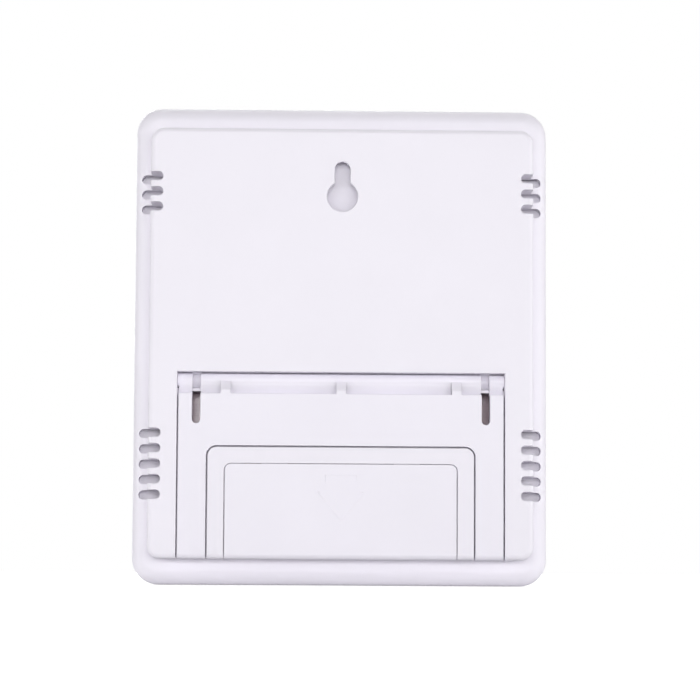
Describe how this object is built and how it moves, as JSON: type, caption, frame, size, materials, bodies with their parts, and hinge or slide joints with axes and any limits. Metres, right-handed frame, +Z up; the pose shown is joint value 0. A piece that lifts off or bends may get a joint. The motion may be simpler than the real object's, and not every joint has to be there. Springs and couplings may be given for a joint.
{
  "type": "temperature humidity sensor",
  "caption": "Slim rectangular digital temperature and humidity meter with a keyhole for the wall, side vents, a fold-out table stand and a sliding battery door.",
  "frame": {"origin": "middle of the case's footprint, on the plane of its base", "axes": "+Z up the case, +Y out of the rear panel, +X to the right when the display faces the viewer"},
  "size_m": [0.095, 0.0252, 0.11],
  "materials": {
    "case_white": "moulded white plastic with a fine satin texture",
    "stand_white": "moulded white plastic with a fine satin texture",
    "door_white": "moulded white plastic with a fine satin texture",
    "lens_clear": "clear polished lens",
    "gasket_black": "adhesive foam",
    "display_glass": "grey-green reflective display",
    "inner_plastic": "natural moulded plastic",
    "keypad_rubber": "silicone rubber",
    "board_white": "white solder resist on glass fibre board",
    "resin_black": "cast resin",
    "plated_steel": "nickel plated",
    "key_grey": "satin moulded plastic",
    "buzzer_brass": "bare sheet with a ceramic disc",
    "lead_grey": "insulated wire",
    "lead_red": "insulated wire",
    "lead_black": "insulated wire",
    "cell_jacket": "plain jacketed dry cell"
  },
  "bodies": {
    "case": {"front_housing": "case_white", "rear_cover": "case_white", "display_lens": "lens_clear", "lens_gasket": "gasket_black", "lcd_panel": "display_glass", "lcd_frame": "inner_plastic", "zebra_strip": "keypad_rubber", "main_board": "board_white", "controller_chip": "resin_black", "clock_crystal": "plated_steel", "temperature_sensor": "resin_black", "humidity_sensor": "inner_plastic", "rubber_keypad": "keypad_rubber", "board_screws": "plated_steel", "case_screws": "plated_steel", "piezo_buzzer": "buzzer_brass", "buzzer_leads": "lead_grey", "positive_lead": "lead_red", "negative_lead": "lead_black", "positive_contact": "plated_steel", "negative_contact": "plated_steel", "bridge_contact": "plated_steel", "contact_springs": "plated_steel", "lower_cell": "cell_jacket", "upper_cell": "cell_jacket"},
    "stand": {"stand": "stand_white"},
    "battery_door": {"battery_door": "door_white"},
    "mode_key": {"mode_key": "key_grey"},
    "memory_key": {"memory_key": "key_grey"},
    "adjust_key": {"adjust_key": "key_grey"}
  },
  "joints": [
    {"name": "stand_fold", "type": "hinge", "parent": "case", "child": "stand", "pos_m": [0, 0.00905, 0.0464], "axis": [1, 0, 0], "range_deg": [0, 60]},
    {"name": "battery_door_slide", "type": "slide", "parent": "case", "child": "battery_door", "axis": [0, 0, -1], "range_m": [0, 0.024]},
    {"name": "mode_key_press", "type": "slide", "parent": "case", "child": "mode_key", "axis": [0, 1, 0], "range_m": [0, 0.0006], "stiffness_N_per_m": 1000, "deforming": ["rubber_keypad"]},
    {"name": "memory_key_press", "type": "slide", "parent": "case", "child": "memory_key", "axis": [0, 1, 0], "range_m": [0, 0.0006], "stiffness_N_per_m": 1000, "deforming": ["rubber_keypad"]},
    {"name": "adjust_key_press", "type": "slide", "parent": "case", "child": "adjust_key", "axis": [0, 1, 0], "range_m": [0, 0.0006], "stiffness_N_per_m": 1000, "deforming": ["rubber_keypad"]}
  ]
}
